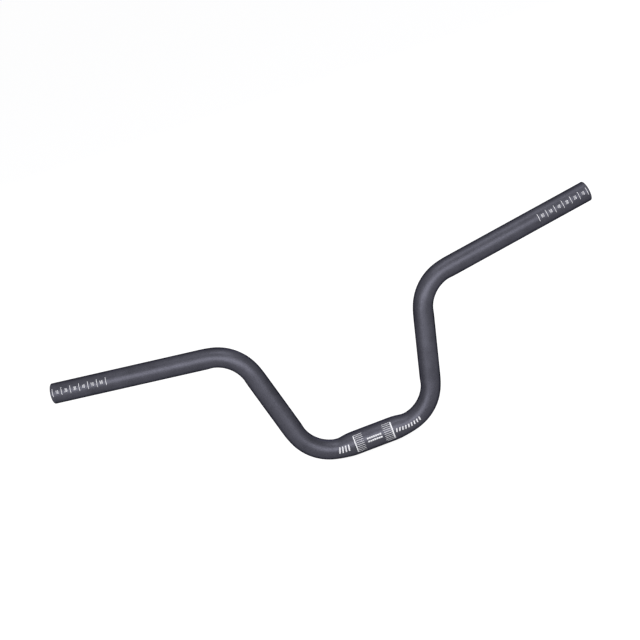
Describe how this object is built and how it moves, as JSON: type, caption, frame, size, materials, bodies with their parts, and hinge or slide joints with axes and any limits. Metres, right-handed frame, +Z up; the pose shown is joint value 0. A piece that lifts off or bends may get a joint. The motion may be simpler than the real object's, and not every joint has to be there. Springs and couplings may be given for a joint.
{
  "type": "bicycle handlebar",
  "caption": "High-rise handlebar: a bent alloy tube with a thicker round clamp zone in the middle, upright risers and swept-back straight grips with open ends.",
  "frame": {"origin": "centre of the stem clamp zone, on the tube's axis", "axes": "+X along the clamp axis toward the rider's left hand, which is on the right as seen from the front, +Z up along the rise, +Y back along the sweep of the grips, toward the rider"},
  "size_m": [0.6102, 0.0659, 0.1806],
  "materials": {
    "anodised_alloy": "blasted and anodised, satin black"
  },
  "bodies": {
    "root": {"handlebar_tube": "anodised_alloy"}
  },
  "joints": []
}
